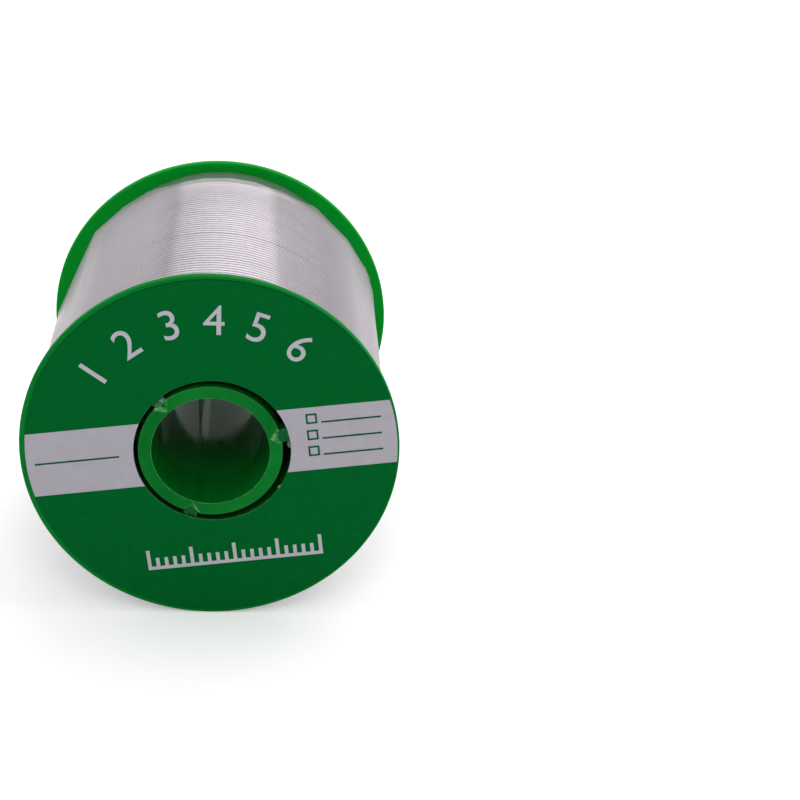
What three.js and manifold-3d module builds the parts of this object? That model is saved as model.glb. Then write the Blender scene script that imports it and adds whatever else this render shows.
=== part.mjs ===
// A reel of 1 mm solder wire, wrapped in clear film, lying on the rims of its two flanges.
// Sizes are in millimetres and angles in degrees. The reel's axis runs along Y, its front end faces -Y,
// +Z is up, and the origin is on the table under the middle of the reel.

import * as THREE from 'three';
import { mergeVertices } from 'three/addons/utils/BufferGeometryUtils.js';
import Module from 'manifold-3d';

// Flanges
const FLANGE_RADIUS = 30.5;
const FLANGE_THICKNESS = 1.6;
const RIM_CHAMFER = 0.3;

// Space for the wire between the flanges
const WINDING_WIDTH = 51.6;

// Drum under the wire, and the spigot of the front flange that plugs its front end
const SPIGOT_WALL = 1.0;
const SPIGOT_LENGTH = 5.0;
const SPIGOT_CLEARANCE = 0.15;
const DRUM_WALL = 1.25;
const DRUM_END_GAP = 0.1;

// Hub tube, tapered outside, level with both flange faces, and the open ring between it and each flange
const BORE_RADIUS = 9.5;
const HUB_FRONT_WALL = 2.1;
const HUB_REAR_WALL = 1.5;
const HUB_CHAMFER = 0.2;
const FRONT_RING_GAP = 1.4;
const REAR_RING_GAP = 1.6;

// Webs that carry the hub tube inside the drum, counted round the axis
const WEB_COUNT = 3;
const WEB_WIDTH = 1.15;
const WEB_ANGLE = 65;
const WEB_RECESS = 0.4;
const WEB_END_GAP = 0.6;

// Wedge lugs of the front flange, keyed into V notches in the front end of the hub tube
const LUG_ANGLE = 14;
const LUG_WIDTH = 2.4;
const LUG_TIP_HEIGHT = 0.8;
const LUG_RECESS = 0.5;
const LUG_DEPTH = 2.4;
const NOTCH_CLEARANCE = 0.3;
const CUT_OVERSHOOT = 1.0;

// Paper labels, the front one stuck on a little off centre
const LABEL_MARGIN = 0.6;
const LABEL_THICKNESS = 0.15;
const FRONT_LABEL_SHIFT_X = 0.3;
const FRONT_LABEL_SHIFT_Z = 0.1;

// Solder wire, wound up to RIM_HEIGHT below the rims
const WIRE_DIAMETER = 1.0;
const RIM_HEIGHT = 3.0;
const CORE_CLEARANCE = 0.1;
const LAYER_CLEARANCE = 0.1;
const OUTER_LOOPS = 24;
const LOOP_STEPS = 24;
const WIRE_SIDES = 6;
const END_BEND_RADIUS = 1.5;
const END_BEND_STEPS = 4;
const WIRE_END_GAP = 0.2;

// Clear film drawn round the wire in flat panels that meet at creases. Each panel is the direction it
// faces, counted from +X towards +Z, and its least height over the wire.
const FILM_THICKNESS = 0.15;
const FILM_END_GAP = 0.3;
const FILM_PANELS = [
  [2, 0.3], [31, 0.4], [51, 0.4], [69.5, 0.35], [88.5, 0.95], [98.5, 1.25],
  [119, 0.6], [123, 0.4], [133, 0.6], [157, 0.2], [201, 0.55], [221.5, 0.35],
  [241.5, 0.3], [262.5, 0.3], [283.5, 0.3], [304, 0.35], [325, 0.45],
];

// Facets round the axis, turned so that one flat facet of each rim lies on the table
const ROUND_STEPS = 72;

// Worked out from the sizes above
const HALF_WIDTH = WINDING_WIDTH / 2;
const HALF_LENGTH = HALF_WIDTH + FLANGE_THICKNESS;
const AXIS_HEIGHT = FLANGE_RADIUS * Math.cos(Math.PI / ROUND_STEPS);
const HUB_FRONT_RADIUS = BORE_RADIUS + HUB_FRONT_WALL;
const HUB_REAR_RADIUS = BORE_RADIUS + HUB_REAR_WALL;
const FRONT_HOLE_RADIUS = HUB_FRONT_RADIUS + FRONT_RING_GAP;
const REAR_HOLE_RADIUS = HUB_REAR_RADIUS + REAR_RING_GAP;
const SPIGOT_RADIUS = FRONT_HOLE_RADIUS + SPIGOT_WALL;
const DRUM_BORE_RADIUS = SPIGOT_RADIUS + SPIGOT_CLEARANCE;
const DRUM_RADIUS = DRUM_BORE_RADIUS + DRUM_WALL;
const LUG_TIP_RADIUS = BORE_RADIUS + LUG_TIP_HEIGHT;
const LABEL_RADIUS = FLANGE_RADIUS - LABEL_MARGIN;
const LABEL_HOLE_RADIUS = REAR_HOLE_RADIUS;
const WINDING_RADIUS = FLANGE_RADIUS - RIM_HEIGHT;
const WIRE_RADIUS = WIRE_DIAMETER / 2;
const WIRE_PATH_RADIUS = WINDING_RADIUS - WIRE_RADIUS;
// Half way between two points of a loop, the wire is this near to the axis.
const WIRE_CHORD_RADIUS = WIRE_PATH_RADIUS * Math.cos(Math.PI / LOOP_STEPS);
const CORE_RADIUS = WIRE_CHORD_RADIUS - WIRE_RADIUS - LAYER_CLEARANCE;

const wasm = await Module();
wasm.setup();

// Materials

function plain(color, roughness, metalness) {
  return new THREE.MeshStandardMaterial({ color, roughness, metalness });
}

const greenPlastic = plain(0x148a2c, 0.35, 0);
const labelPaper = plain(0x00602a, 0.45, 0);
const solder = plain(0xc8c4c8, 0.35, 1);
const clearFilm = new THREE.MeshStandardMaterial({
  color: 0xf2f5f3,
  roughness: 0.1,
  metalness: 0,
  transparent: true,
  opacity: 0.3,
});

// Helpers

const radians = THREE.MathUtils.degToRad;

// Turns a closed outline of [radius, y] points about the Y axis.
function turned(outline) {
  const points = outline.map(([radius, y]) => new THREE.Vector2(radius, y));
  points.push(points[0].clone());
  return new THREE.LatheGeometry(points, ROUND_STEPS, Math.PI / ROUND_STEPS);
}

// A prism along Y: outline points are [distance out from the axis, distance sideways], and angle turns the
// prism round the axis, counted from +X towards +Z.
function prism(outline, front, rear, angle) {
  const shape = new THREE.Shape(outline.map(([out, side]) => new THREE.Vector2(out, side)));
  const geometry = new THREE.ExtrudeGeometry(shape, { depth: rear - front, bevelEnabled: false });
  geometry.rotateX(Math.PI / 2);
  geometry.translate(0, rear, 0);
  geometry.rotateY(-radians(angle));
  return geometry;
}

// The same piece at equal steps round the axis.
function spaced(count, firstAngle, make) {
  const pieces = [];
  for (let i = 0; i < count; i += 1) {
    pieces.push(make(firstAngle + (360 * i) / count));
  }
  return pieces;
}

function toSolid(geometry) {
  const bare = geometry.clone();
  bare.deleteAttribute('normal');
  bare.deleteAttribute('uv');
  const merged = mergeVertices(bare, 1e-4);
  return new wasm.Manifold(new wasm.Mesh({
    numProp: 3,
    vertProperties: new Float32Array(merged.attributes.position.array),
    triVerts: new Uint32Array(merged.index.array),
  }));
}

function toGeometry(solid) {
  const mesh = solid.getMesh();
  const geometry = new THREE.BufferGeometry();
  geometry.setAttribute('position', new THREE.BufferAttribute(mesh.vertProperties, 3));
  geometry.setIndex(new THREE.BufferAttribute(mesh.triVerts, 1));
  geometry.computeVertexNormals();
  return geometry;
}

function joined(geometries) {
  return geometries.map(toSolid).reduce((sum, solid) => sum.add(solid));
}

function cut(solid, geometries) {
  return geometries.map(toSolid).reduce((rest, tool) => rest.subtract(tool), solid);
}

function named(name, geometry, material) {
  const mesh = new THREE.Mesh(geometry, material);
  mesh.name = name;
  return mesh;
}

// Wedges: the front flange's lugs and the notches in the hub tube that they key into

// A wedge in the [out, sideways] plane: square-sided from the root in to the hub's outside, then running
// to a point, and grown by the clearance all round.
function wedge(root, clearance) {
  const half = LUG_WIDTH / 2;
  const flank = Math.hypot(HUB_FRONT_RADIUS - LUG_TIP_RADIUS, half);
  const tip = LUG_TIP_RADIUS - (clearance * flank) / half;
  const side = half + clearance;
  return [[tip, 0], [HUB_FRONT_RADIUS, -side], [root, -side], [root, side], [HUB_FRONT_RADIUS, side]];
}

function notch(angle) {
  const bottom = -HALF_LENGTH + LUG_RECESS + LUG_DEPTH + NOTCH_CLEARANCE;
  return prism(wedge(FRONT_HOLE_RADIUS, NOTCH_CLEARANCE), -HALF_LENGTH - CUT_OVERSHOOT, bottom, angle);
}

function lug(angle) {
  const root = FRONT_HOLE_RADIUS + SPIGOT_WALL / 2;
  const face = -HALF_LENGTH + LUG_RECESS;
  return prism(wedge(root, 0), face, face + LUG_DEPTH, angle);
}

// Reel body: rear flange and drum in one turned piece, hub tube, webs and notches

function makeReelBody() {
  const rim = FLANGE_RADIUS - RIM_CHAMFER;
  const shell = turned([
    [REAR_HOLE_RADIUS, HALF_LENGTH],
    [REAR_HOLE_RADIUS, HALF_WIDTH],
    [DRUM_BORE_RADIUS, HALF_WIDTH],
    [DRUM_BORE_RADIUS, -HALF_WIDTH + DRUM_END_GAP],
    [DRUM_RADIUS, -HALF_WIDTH + DRUM_END_GAP],
    [DRUM_RADIUS, HALF_WIDTH],
    [rim, HALF_WIDTH],
    [FLANGE_RADIUS, HALF_WIDTH + RIM_CHAMFER],
    [FLANGE_RADIUS, HALF_LENGTH - RIM_CHAMFER],
    [rim, HALF_LENGTH],
  ]);
  const tube = turned([
    [BORE_RADIUS, HALF_LENGTH - HUB_CHAMFER],
    [BORE_RADIUS, -HALF_LENGTH + HUB_CHAMFER],
    [BORE_RADIUS + HUB_CHAMFER, -HALF_LENGTH],
    [HUB_FRONT_RADIUS, -HALF_LENGTH],
    [HUB_REAR_RADIUS, HALF_LENGTH],
    [BORE_RADIUS + HUB_CHAMFER, HALF_LENGTH],
  ]);
  const webRoot = (BORE_RADIUS + HUB_REAR_RADIUS) / 2;
  const webTip = DRUM_BORE_RADIUS + DRUM_WALL / 2;
  const half = WEB_WIDTH / 2;
  const front = -HALF_WIDTH + SPIGOT_LENGTH + WEB_END_GAP;
  const webs = spaced(WEB_COUNT, WEB_ANGLE, (angle) => prism(
    [[webRoot, -half], [webTip, -half], [webTip, half], [webRoot, half]],
    front,
    HALF_LENGTH - WEB_RECESS,
    angle,
  ));
  const notches = spaced(WEB_COUNT, LUG_ANGLE, notch);
  return named('reel_body', toGeometry(cut(joined([shell, tube, ...webs]), notches)), greenPlastic);
}

// Front flange: disc and spigot in one turned piece, and the lugs

function makeFrontFlange() {
  const rim = FLANGE_RADIUS - RIM_CHAMFER;
  const disc = turned([
    [FRONT_HOLE_RADIUS, -HALF_WIDTH + SPIGOT_LENGTH],
    [FRONT_HOLE_RADIUS, -HALF_LENGTH],
    [rim, -HALF_LENGTH],
    [FLANGE_RADIUS, -HALF_LENGTH + RIM_CHAMFER],
    [FLANGE_RADIUS, -HALF_WIDTH - RIM_CHAMFER],
    [rim, -HALF_WIDTH],
    [SPIGOT_RADIUS, -HALF_WIDTH],
    [SPIGOT_RADIUS, -HALF_WIDTH + SPIGOT_LENGTH],
  ]);
  const lugs = spaced(WEB_COUNT, LUG_ANGLE, lug);
  return named('front_flange', toGeometry(joined([disc, ...lugs])), greenPlastic);
}

// Labels

function makeLabel(name, front) {
  const geometry = turned([
    [LABEL_HOLE_RADIUS, front + LABEL_THICKNESS],
    [LABEL_HOLE_RADIUS, front],
    [LABEL_RADIUS, front],
    [LABEL_RADIUS, front + LABEL_THICKNESS],
  ]);
  return named(name, geometry, labelPaper);
}

function makeFrontLabel() {
  const label = makeLabel('front_label', -HALF_LENGTH - LABEL_THICKNESS);
  label.position.set(FRONT_LABEL_SHIFT_X, 0, FRONT_LABEL_SHIFT_Z);
  return label;
}

// Solder wire

function makeWireCore() {
  const inner = DRUM_RADIUS + CORE_CLEARANCE;
  const end = HALF_WIDTH - CORE_CLEARANCE;
  const geometry = turned([[inner, end], [inner, -end], [CORE_RADIUS, -end], [CORE_RADIUS, end]]);
  return named('solder_wire_core', geometry, solder);
}

// The wire's path unrolled: u runs round the winding and y along it. It starts straight out from the front
// flange, bends round, winds to the rear in even loops, and bends back to end square on the rear flange.
function unrolledPath() {
  const startY = -HALF_WIDTH + WIRE_END_GAP;
  const bendY = startY + WIRE_DIAMETER;
  const windY = bendY + END_BEND_RADIUS;
  const windU = 2 * Math.PI * WIRE_PATH_RADIUS * OUTER_LOOPS;
  const slope = Math.atan2(-2 * windY, windU);
  const bend = Math.PI / 2 - slope;
  const half = [];
  half.push([0, startY]);
  for (let i = 0; i <= END_BEND_STEPS; i += 1) {
    const angle = (bend * i) / END_BEND_STEPS;
    half.push([END_BEND_RADIUS * (1 - Math.cos(angle)), bendY + END_BEND_RADIUS * Math.sin(angle)]);
  }
  const [firstU, firstY] = half[half.length - 1];
  const lastU = windU - firstU;
  const lastY = -firstY;
  const path = [...half];
  const steps = OUTER_LOOPS * LOOP_STEPS;
  for (let i = 1; i < steps; i += 1) {
    const share = i / steps;
    path.push([firstU + (lastU - firstU) * share, firstY + (lastY - firstY) * share]);
  }
  for (const [u, y] of half.reverse()) {
    path.push([windU - u, -y]);
  }
  return path;
}

// A closed tube of flat-sided section round a path on the winding's cylinder. Every section keeps one
// direction square to the cylinder, so the tube never twists.
function windingTube(path) {
  const ring = path.map(([u, y]) => {
    const angle = u / WIRE_PATH_RADIUS;
    const out = new THREE.Vector3(Math.cos(angle), 0, Math.sin(angle));
    const centre = out.clone().multiplyScalar(WIRE_PATH_RADIUS);
    centre.y = y;
    return { out, centre };
  });
  const positions = [];
  ring.forEach(({ out, centre }, i) => {
    const before = ring[Math.max(i - 1, 0)].centre;
    const after = ring[Math.min(i + 1, ring.length - 1)].centre;
    const along = after.clone().sub(before);
    along.addScaledVector(out, -along.dot(out)).normalize();
    const side = new THREE.Vector3().crossVectors(along, out);
    for (let k = 0; k < WIRE_SIDES; k += 1) {
      const angle = (2 * Math.PI * k) / WIRE_SIDES;
      const point = centre.clone();
      point.addScaledVector(out, WIRE_RADIUS * Math.cos(angle));
      point.addScaledVector(side, WIRE_RADIUS * Math.sin(angle));
      positions.push(point.x, point.y, point.z);
    }
  });
  const index = [];
  const last = (ring.length - 1) * WIRE_SIDES;
  for (let i = 0; i < last; i += WIRE_SIDES) {
    for (let k = 0; k < WIRE_SIDES; k += 1) {
      const next = (k + 1) % WIRE_SIDES;
      index.push(i + k, i + WIRE_SIDES + next, i + WIRE_SIDES + k);
      index.push(i + k, i + next, i + WIRE_SIDES + next);
    }
  }
  for (let k = 1; k < WIRE_SIDES - 1; k += 1) {
    index.push(0, k + 1, k);
    index.push(last, last + k, last + k + 1);
  }
  const geometry = new THREE.BufferGeometry();
  geometry.setAttribute('position', new THREE.Float32BufferAttribute(positions, 3));
  geometry.setIndex(index);
  geometry.computeVertexNormals();
  return { geometry, centres: ring.map((section) => section.centre) };
}

// The least clear gap between one stretch of the wire and another, measured between the path's points that
// lie more than a quarter of a loop apart along it.
function leastGap(centres) {
  const apart = LOOP_STEPS / 4;
  let least = Infinity;
  for (let i = 0; i < centres.length; i += 1) {
    for (let j = i + apart; j < centres.length; j += 1) {
      least = Math.min(least, centres[i].distanceTo(centres[j]));
    }
  }
  return least - WIRE_DIAMETER;
}

function makeWireOuterLayer() {
  const { geometry, centres } = windingTube(unrolledPath());
  console.log(`least gap of the wound wire to itself: ${leastGap(centres).toFixed(3)} mm`);
  return named('solder_wire_outer_layer', geometry, solder);
}

// Film wrap, from flange to flange

// The crease where two neighbouring panels, at their distances from the axis, meet.
function crease([angleA, heightA], [angleB, heightB], extra) {
  const a = radians(angleA);
  const b = radians(angleB);
  const distanceA = WINDING_RADIUS + heightA + extra;
  const distanceB = WINDING_RADIUS + heightB + extra;
  const turn = Math.sin(b - a);
  const x = (distanceA * Math.sin(b) - distanceB * Math.sin(a)) / turn;
  const z = (distanceB * Math.cos(a) - distanceA * Math.cos(b)) / turn;
  return new THREE.Vector2(x, z);
}

function filmOutline(extra) {
  return FILM_PANELS.map((panel, i) => crease(panel, FILM_PANELS[(i + 1) % FILM_PANELS.length], extra));
}

function makeFilmWrap() {
  const shape = new THREE.Shape(filmOutline(FILM_THICKNESS));
  shape.holes.push(new THREE.Path(filmOutline(0)));
  const length = WINDING_WIDTH - 2 * FILM_END_GAP;
  const geometry = new THREE.ExtrudeGeometry(shape, { depth: length, bevelEnabled: false });
  geometry.rotateX(Math.PI / 2);
  geometry.translate(0, length / 2, 0);
  return named('film_wrap', geometry, clearFilm);
}

const reel = new THREE.Group();
reel.position.z = AXIS_HEIGHT;
reel.add(makeReelBody());
reel.add(makeFrontFlange());
reel.add(makeFrontLabel());
reel.add(makeLabel('rear_label', HALF_LENGTH));
reel.add(makeWireCore());
reel.add(makeWireOuterLayer());
reel.add(makeFilmWrap());

export default reel;
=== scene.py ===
"""A reel of 1 mm solder wire under clear film, lying on its rims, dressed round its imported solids.

Metres, +Z up. The reel's axis runs along Y, its front end faces -Y, and the origin is on the table under
the middle of the reel. Angles are in degrees and count from +X towards +Z, as seen from the front.
"""

import math
import random

import bmesh
import bpy
from mathutils import Matrix, Vector


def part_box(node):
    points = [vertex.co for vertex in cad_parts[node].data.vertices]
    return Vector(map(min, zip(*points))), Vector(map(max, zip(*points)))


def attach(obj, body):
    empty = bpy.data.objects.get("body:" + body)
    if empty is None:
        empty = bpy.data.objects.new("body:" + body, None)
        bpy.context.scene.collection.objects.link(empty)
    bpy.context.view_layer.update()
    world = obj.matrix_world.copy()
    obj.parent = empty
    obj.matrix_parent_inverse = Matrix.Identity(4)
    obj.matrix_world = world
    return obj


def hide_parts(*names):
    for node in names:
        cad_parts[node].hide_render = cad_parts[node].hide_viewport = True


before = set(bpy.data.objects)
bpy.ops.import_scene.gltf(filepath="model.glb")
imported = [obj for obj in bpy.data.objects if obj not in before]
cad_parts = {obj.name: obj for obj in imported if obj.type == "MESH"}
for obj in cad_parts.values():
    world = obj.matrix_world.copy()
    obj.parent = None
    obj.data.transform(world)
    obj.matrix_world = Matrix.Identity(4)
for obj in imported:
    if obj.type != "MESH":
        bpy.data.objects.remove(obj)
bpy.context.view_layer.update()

BODY = "root"
MM = 0.001
SEED = 7
SHARP = 35

# Sizes read from the frame
REEL_LOW, REEL_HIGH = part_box("reel_body")
FLANGE_RADIUS = (REEL_HIGH.x - REEL_LOW.x) / 2
AXIS_HEIGHT = (REEL_HIGH.z + REEL_LOW.z) / 2
HALF_LENGTH = (REEL_HIGH.y - REEL_LOW.y) / 2
LABEL_LOW, LABEL_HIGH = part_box("front_label")
LABEL_RADIUS = (LABEL_HIGH.x - LABEL_LOW.x) / 2
LABEL_SHIFT = ((LABEL_HIGH.x + LABEL_LOW.x) / 2, (LABEL_HIGH.z + LABEL_LOW.z) / 2 - AXIS_HEIGHT)
LABEL_THICKNESS = LABEL_HIGH.y - LABEL_LOW.y
SPIGOT_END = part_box("front_flange")[1].y

# Reel
FLANGE_THICKNESS = 1.6 * MM
HALF_WIDTH = HALF_LENGTH - FLANGE_THICKNESS
RIM_FILLET = 0.32 * MM
EDGE_FILLET = 0.12 * MM
BORE_RADIUS = 9.5 * MM
HUB_FRONT_RADIUS = 11.6 * MM
HUB_REAR_RADIUS = 11.0 * MM
HUB_FILLET = 0.2 * MM
FRONT_HOLE_RADIUS = 13.0 * MM
REAR_HOLE_RADIUS = 12.6 * MM
SPIGOT_RADIUS = 14.0 * MM
DRUM_BORE_RADIUS = 14.15 * MM
DRUM_RADIUS = 15.4 * MM
DRUM_END_GAP = 0.1 * MM
FLANGE_STEPS = 256
TUBE_STEPS = 192

# The front rim's back edge has a painted pale highlight between these distances in front of the winding's end
RIM_HIGHLIGHT_FROM = 0.65 * MM
RIM_HIGHLIGHT_TO = 0.05 * MM
RIM_HIGHLIGHT_CURVE = 2.5
RIM_HIGHLIGHT_COLOUR = (222, 230, 222)

# The mould line in the bore: its angle at the reel's middle, its turn in degrees per metre of length, and the
# two y between which it grows from nothing to its full width. The bore's mesh is finer round it.
MOULD_LINE_ANGLE = 253
MOULD_LINE_TURN = -200
MOULD_LINE_WIDTH = 1.5 * MM
MOULD_LINE_DEPTH = 0.012 * MM
MOULD_LINE_START = -10 * MM
MOULD_LINE_FULL = 12 * MM
MOULD_LINE_ROUGHNESS = 0.5
MOULD_LINE_RINGS = 8
FINE_STEP = 0.5
FINE_STEPS_EACH_WAY = 18
FINE_REACH = 9.2

# The bore leans in towards the rear, by this slope left of the mould line and this one right of it, which
# comes in over a blur in radians and goes out between two angles
BORE_LEAN = 0.012
BORE_LEAN_RIGHT = 0.03
BORE_LEAN_BLUR = 0.06
BORE_LEAN_FADE = (350, 440)

# How far along Y a normal may point: on the hub's walls, off its ends, in the front hole, on label edges
WALL_FACE = 0.35
NOT_AN_END = 0.9
HOLE_WALL_FACE = 0.5
LABEL_EDGE_FACE = 0.99

# Webs inside the drum, and the front flange's lugs in the hub's notches
WEB_COUNT = 3
WEB_ANGLE = 65
WEB_WIDTH = 1.15 * MM
WEB_RECESS = 0.4 * MM
WEB_END_GAP = 0.6 * MM
LUG_ANGLE = 14
LUG_WIDTH = 2.3 * MM
LUG_TIP_RADIUS = 10.75 * MM
LUG_RECESS = 0.45 * MM
LUG_DEPTH = 2.4 * MM
LUG_CHAMFER = 0.06 * MM
LUG_TIP_GROWTH = 1.5
NOTCH_CLEARANCE = 0.02 * MM
NOTCH_FLANK = 0.6 * MM
NOTCH_EXTRA_DEPTH = 0.3 * MM
NOTCH_OVERSHOOT = 0.3 * MM

# Labels
LABEL_HOLE_RADIUS = 12.6 * MM
LABEL_BEVEL = 0.045 * MM
LABEL_STEPS = 192
LABEL_SHARP = 25
BAND_ANGLE = 7.2
BAND_WIDTH = 11.3 * MM
BAND_OFFSET = 0.6 * MM
PRINT_THICKNESS = 0.02 * MM
DIGIT_ANGLES = (144, 125.5, 107, 89.5, 72, 53.7)
DIGIT_RADIUS = 23.1 * MM
DIGIT_HEIGHT = 5.0 * MM
FONT_SIZE_PER_HEIGHT = 1.4
SCALE_CENTRE = (3.7 * MM, -18.7 * MM)
SCALE_LENGTH = 28.4 * MM
SCALE_PARTS = 20
SCALE_LONG_EVERY = 5
SCALE_LONG = 3.7 * MM
SCALE_SHORT = 2.2 * MM
SCALE_STROKE = 0.6 * MM
RULE_STROKE = 0.3 * MM
LEFT_RULE = (-21.6 * MM, -2.0 * MM)
LEFT_RULE_LENGTH = 13.6 * MM
ROWS = ((20.6 * MM, 6.1 * MM), (20.9 * MM, 3.2 * MM), (21.2 * MM, 0.3 * MM))
ROW_LENGTH = 9.6 * MM
TICK_BOX = 1.5 * MM
PRINT_SHARP = 30

# Frayed scraps of label paper: angle, width, root and tip radius, and depth behind the label's face
FLAPS = (
    (330.0, 0.6 * MM, 12.8 * MM, 12.28 * MM, 0.02 * MM),
    (4.8, 1.5 * MM, 13.1 * MM, 12.0 * MM, 0.9 * MM),
)
FLAP_THICKNESS = 0.05 * MM

# Wire. Its turns wander a little, and stand apart at a few places, each given as (turn, width).
START_ANGLE = 255
WIRE_DIAMETER = 1.0 * MM
WIRE_RADIUS = WIRE_DIAMETER / 2
WINDING_RADIUS = 27.5 * MM
LAYER_STEP = 0.87 * MM
TURNS = 49.5
TURN_GAPS = ((23.3, 0.2 * MM), (33.1, 0.14 * MM), (12.6, 0.06 * MM))
WIRE_WANDER = 0.012 * MM
WIRE_END_GAP = 0.05 * MM
WIRE_SHARP = 60
UNDER_WIRE_RADIUS = WIRE_RADIUS * 0.98

# Points round a turn and round the wire, for the layer seen and the one under it
OUTER_MESH = (120, 12)
UNDER_MESH = (72, 8)

# Between these distances from the axis the wire goes from darkened, as painted shade in the grooves, to
# bright
GROOVE_RADIUS = 27.26 * MM
BRIGHT_RADIUS = 27.43 * MM

# Film: each panel is the direction that it faces and its least height over the wire, in millimetres. A third
# number is the radius of the crease after it.
FILM_THICKNESS = 0.05 * MM
FILM_END = HALF_WIDTH - 0.05 * MM
FILM_EDGE_WIDTH = 0.3 * MM
FILM_PANELS = (
    (6, 1.0), (19, 0.95), (31, 0.55), (44, 0.3), (57, 0.5), (69.5, 0.85), (81, 1.1), (92, 1.05),
    (102, 0.95), (111, 0.65), (124.5, 0.2), (133, 0.2, 3), (156, 0.08, 2), (201, 0.55), (221.5, 0.35),
    (241.5, 0.3), (262.5, 0.3), (283.5, 0.3), (304, 0.35), (325, 0.45), (346, 0.7),
)
FILM_CREASE_RADIUS = 8
FILM_CREASE_STEPS = 6
FILM_STEP = 1.3 * MM
FILM_ROWS = 72
FILM_SHARP = 40
FILM_CURL = 0.12 * MM
FILM_CURL_WIDTH = 1.1 * MM

# Waves in the film: how many go round the reel, the length over which they turn, and their share of height
FILM_WAVE = 0.03 * MM
FILM_WAVES = ((5, 4.1 * MM, 1.0), (11, -6.3 * MM, 0.6))

# The window at the crown, where the film is one layer thick: its edges' angles at the reel's middle and the
# turn of its right edge, in degrees per metre of length. At the rear end the film stands off the wire in a
# strip, which narrows to nothing either side of the crown.
WINDOW_RIGHT = 69.0
WINDOW_RIGHT_TURN = 85
WINDOW_LEFT = 104.6
WINDOW_BLUR = 1.7
STRIP_ANGLE = 86
STRIP_REACH = 32
STRIP_START = 22.8 * MM
STRIP_END = 25.7 * MM
STRIP_BLUR = 0.25 * MM

# The folded film elsewhere, as spans of y or of angle. Painted light and shade set its tone: it turns one
# even tone and hazier towards the rear, is paler on the left and at the rear left, and greyer away from the
# crown. The window's haze thickens and turns paler to the rear, as painted light too.
REAR_LIGHT_SPAN = (10 * MM, 25 * MM)
LEFT_SIDE = (WINDOW_LEFT - 2, WINDOW_LEFT + 4)
FROM_CROWN = (24, 46)
LEFT_REAR_LIGHT = (145, 158)
LEFT_REAR_LIGHT_Y = (2 * MM, 16 * MM)
WINDOW_REAR_LIGHT_SPAN = (11 * MM, 20 * MM)

# Colours of the film
FOLDED_COLOURS = ((196, 189, 195), (202, 195, 202))
LEFT_LIGHT_COLOUR = (226, 220, 226)
SIDE_SHADE_COLOUR = (180, 173, 180)
REAR_LIGHT_COLOUR = (196, 189, 196)
WINDOW_COLOURS = ((220, 213, 218), (240, 233, 238))
STRIP_COLOUR = (182, 180, 182)
CUT_EDGE_COLOUR = (232, 232, 232)

# Share of haze for a span of the Fresnel term: (term from, to, share from, to). Painted light towards the
# rear, on the folded film and in the window, adds a share, and a cut edge has at least its own.
LAYERED_HAZE = (0.17, 0.4, 0.25, 0.88)
SINGLE_HAZE = (0.04, 0.3, 0.04, 0.38)
INSIDE_HAZE = (0, 0.3, 0, 0.04)
REAR_LIGHT_HAZE = 0.25
WINDOW_REAR_LIGHT_HAZE = 0.24
CUT_EDGE_HAZE = 0.8

# Pleats at the film's rear end: angle, width in degrees, height and where each starts
PLEATS = ((18.5, 1.1, 0.22 * MM, 8 * MM), (22.0, 0.9, 0.14 * MM, 12 * MM))

# Camera, at the photograph's viewing angle
CAMERA_FROM_FRONT_CENTRE = Vector((9.68, -262.67, 139.01)) * MM
CAMERA_TURN = (63.859, -2.617, -3.16)
CAMERA_LENS = 82.74
SENSOR_WIDTH = 36.0
CAMERA_CLIP = (0.01, 20)

# Light: the studio's strength at three values of a direction's y, and the softboxes as name, place, size and
# radiance. The floor is lifted for what sees it as a background.
STUDIO = ((-1.0, 0.24), (0.1, 0.76), (1.0, 1.0))
SOFTBOXES = (
    ("softbox_top", (0.18, 0.25, 0.56), (0.66, 0.75), 0.9),
    ("softbox_front", (0.0, -0.36, 0.4), (0.22, 0.22), 3.2),
)
FLOOR_HALF = 3.0
FLOOR_COLOUR = (0.95, 0.95, 0.95, 1)
FLOOR_LIFT = 0.3
WHITE = (1, 1, 1, 1)

rng = random.Random(SEED)


# Mesh helpers

def on_reel(radius, y, angle):
    """A point at a distance from the reel's axis."""
    a = math.radians(angle)
    return Vector((radius * math.cos(a), y, AXIS_HEIGHT + radius * math.sin(a)))


def new_object(name, verts, faces, materials=(), sharp=SHARP):
    """A closed mesh with its faces pointing out, smooth between faces less than `sharp` degrees apart."""
    mesh = bpy.data.meshes.new(name)
    mesh.from_pydata([tuple(v) for v in verts], [], faces)
    bm = bmesh.new()
    bm.from_mesh(mesh)
    bmesh.ops.remove_doubles(bm, verts=bm.verts, dist=1e-8)
    bmesh.ops.recalc_face_normals(bm, faces=bm.faces)
    bm.to_mesh(mesh)
    bm.free()
    for material in materials:
        mesh.materials.append(material)
    obj = bpy.data.objects.new(name, mesh)
    bpy.context.scene.collection.objects.link(obj)
    smooth(obj, sharp)
    return obj


def smooth(obj, sharp):
    """Shades smooth, apart from edges of more than `sharp` degrees."""
    obj.data.shade_smooth()
    obj.data.set_sharp_from_angle(angle=math.radians(sharp))


def ring_faces(a, b, n):
    """The faces between two closed rows of n points, which start at the points a and b."""
    return [(a + k, a + (k + 1) % n, b + (k + 1) % n, b + k) for k in range(n)]


def even_angles(count):
    """Angles in even steps once round."""
    return [360 * i / count for i in range(count)]


def rounded(corners, steps=4):
    """A closed outline whose corners (a, b, radius) are turned into arcs of that radius."""
    points = []
    for i, (a, b, radius) in enumerate(corners):
        here = Vector((a, b))
        if radius == 0:
            points.append(here)
            continue
        back = (Vector(corners[i - 1][:2]) - here).normalized()
        ahead = (Vector(corners[(i + 1) % len(corners)][:2]) - here).normalized()
        half = back.angle(ahead) / 2
        centre = here + (back + ahead).normalized() * radius / math.sin(half)
        spoke = here + back * radius / math.tan(half) - centre
        sweep = (here + ahead * radius / math.tan(half) - centre).angle_signed(spoke)
        for k in range(steps + 1):
            points.append(centre + Matrix.Rotation(sweep * k / steps, 2) @ spoke)
    return points


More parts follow.
